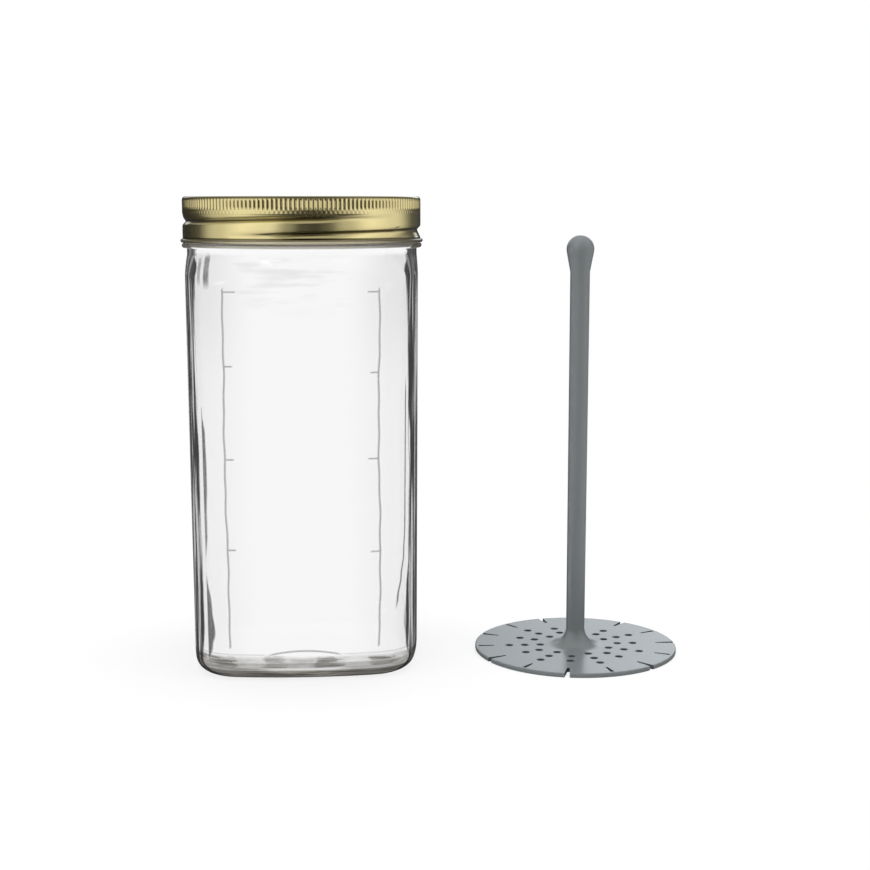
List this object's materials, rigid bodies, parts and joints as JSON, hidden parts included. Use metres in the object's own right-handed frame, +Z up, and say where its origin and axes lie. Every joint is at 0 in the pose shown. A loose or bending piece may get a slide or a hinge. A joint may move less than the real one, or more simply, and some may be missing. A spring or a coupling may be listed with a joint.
{
  "type": "pickle keeper",
  "caption": "Square glass preserving jar with a gold two-piece screw lid, and a slotted strainer plate on a stem that lifts pickles out of the brine.",
  "frame": {"origin": "centre of the jar's foot, on the surface that it stands on", "axes": "+Z up along the jar's axis, -Y out of the jar's front face, +X towards the lifter that stands beside the jar"},
  "size_m": [0.1912, 0.0918, 0.177],
  "materials": {
    "glass": "clear moulded glass",
    "seal_rubber": "matte",
    "lid_tin": "satin gold lacquer on tinplate",
    "band_tin": "satin gold lacquer on tinplate",
    "lifter_plastic": "satin grey moulding"
  },
  "bodies": {
    "jar": {"glass_jar": "glass"},
    "lid": {"lid_disc": "lid_tin", "lid_seal": "seal_rubber"},
    "band": {"screw_band": "band_tin"},
    "lifter": {"lifter": "lifter_plastic"}
  },
  "joints": [
    {"name": "lid_rise", "type": "slide", "parent": "jar", "child": "lid", "axis": [0, 0, 1], "range_m": [0, 0.018]},
    {"name": "band_turn", "type": "hinge", "parent": "lid", "child": "band", "pos_m": [0, 0, 0.17], "axis": [0, 0, 1], "range_deg": [0, 1080]},
    {"name": "lifter_rise", "type": "slide", "parent": "jar", "child": "lifter", "axis": [0, 0, 1], "range_m": [0, 0.2]}
  ],
  "couplings": [
    {"joint": "lid_rise", "follows": "band_turn", "m_per_rad": 0.00095493}
  ]
}
